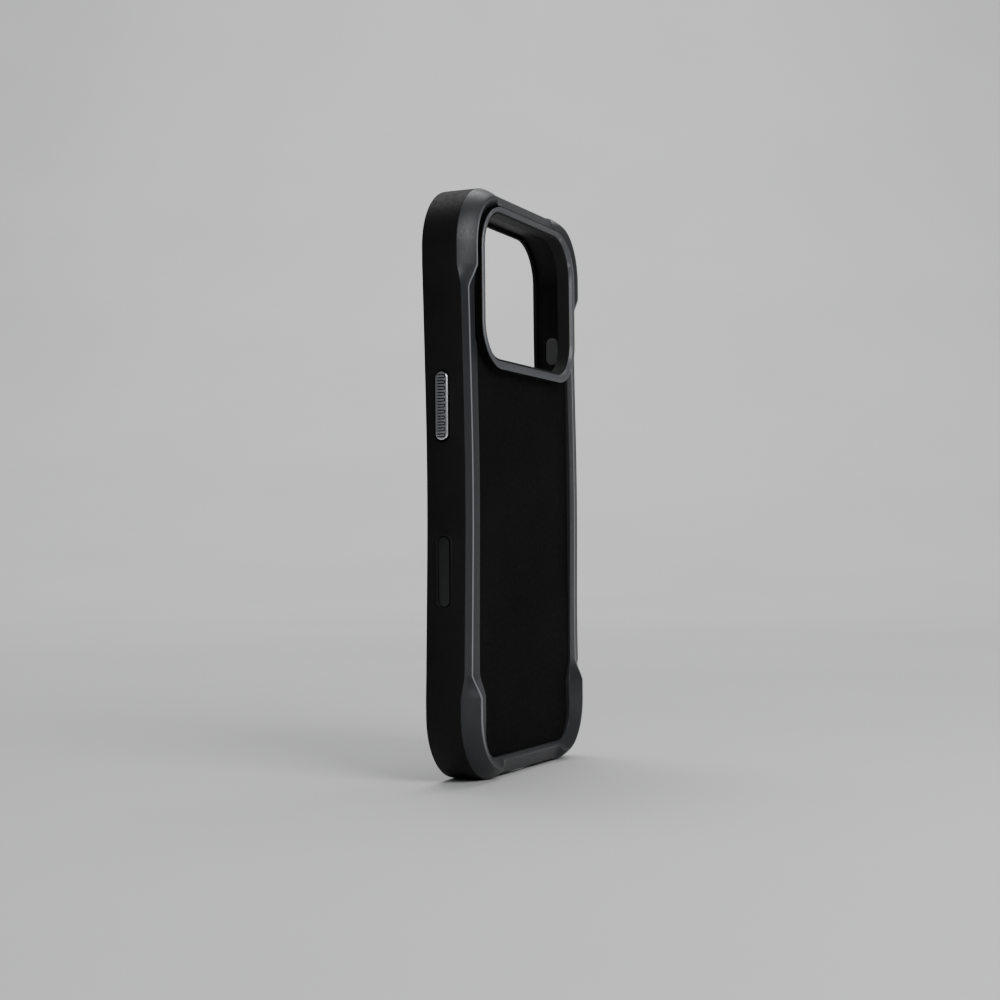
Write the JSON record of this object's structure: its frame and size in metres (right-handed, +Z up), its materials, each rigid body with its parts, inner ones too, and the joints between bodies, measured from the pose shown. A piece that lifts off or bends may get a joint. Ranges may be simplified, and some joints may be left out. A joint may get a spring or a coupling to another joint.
{
  "type": "rugged phone case",
  "caption": "Rugged phone case: soft black bumper on a hard shell, faceted satin grey back frame with thick corners, full-width camera opening with a raised grey rim, ribbed metal side buttons",
  "frame": {"origin": "centre of the bottom edge: middle of the width and of the thickness, on the lowest point", "axes": "+Z up along the case's length to the camera end, +X across the width with the power button on the -X side, +Y out of the open front, so the back and the camera rim face -Y"},
  "size_m": [0.0802, 0.0144, 0.159],
  "materials": {
    "soft_black": "matt, very fine grain",
    "hard_black": "matt moulded",
    "satin_grey": "satin dark grey metal-like paint, fine texture",
    "panel_black": "smooth matt",
    "lining_grey": "short soft pile",
    "magnet_nickel": "bright nickel plating",
    "shield_steel": "thin rolled sheet",
    "cap_metal": "satin anodised, cross grooves",
    "plunger_black": "moulded",
    "pad_grey": "smooth satin",
    "conductor_grey": "conductive, matt"
  },
  "bodies": {
    "case": {"bumper": "soft_black", "inner_shell": "hard_black", "back_frame": "satin_grey", "back_panel": "panel_black", "camera_plateau": "panel_black", "camera_ring": "satin_grey", "camera_liner": "soft_black", "back_lining": "lining_grey", "corner_cushions": "soft_black", "side_cushions": "soft_black", "magnet_ring": "magnet_nickel", "magnet_shield": "shield_steel", "alignment_magnet": "magnet_nickel", "camera_control_rim": "soft_black"},
    "power_button": {"power_button_cap": "cap_metal", "power_button_plunger": "plunger_black"},
    "camera_control": {"camera_control_pad": "pad_grey", "camera_control_conductor": "conductor_grey"},
    "action_button": {"action_button_cap": "cap_metal", "action_button_plunger": "plunger_black"},
    "volume_up": {"volume_up_cap": "cap_metal", "volume_up_plunger": "plunger_black"},
    "volume_down": {"volume_down_cap": "cap_metal", "volume_down_plunger": "plunger_black"}
  },
  "joints": [
    {"name": "power_button_press", "type": "slide", "parent": "case", "child": "power_button", "axis": [1, 0, 0], "range_m": [0, 0.0004], "stiffness_N_per_m": 1200, "springref_m": -0.0003},
    {"name": "camera_control_press", "type": "slide", "parent": "case", "child": "camera_control", "axis": [1, 0, 0], "range_m": [0, 0.00025], "stiffness_N_per_m": 1400, "springref_m": -0.0003},
    {"name": "action_button_press", "type": "slide", "parent": "case", "child": "action_button", "axis": [-1, 0, 0], "range_m": [0, 0.0004], "stiffness_N_per_m": 1200, "springref_m": -0.0003},
    {"name": "volume_up_press", "type": "slide", "parent": "case", "child": "volume_up", "axis": [-1, 0, 0], "range_m": [0, 0.0004], "stiffness_N_per_m": 1200, "springref_m": -0.0003},
    {"name": "volume_down_press", "type": "slide", "parent": "case", "child": "volume_down", "axis": [-1, 0, 0], "range_m": [0, 0.0004], "stiffness_N_per_m": 1200, "springref_m": -0.0003}
  ]
}
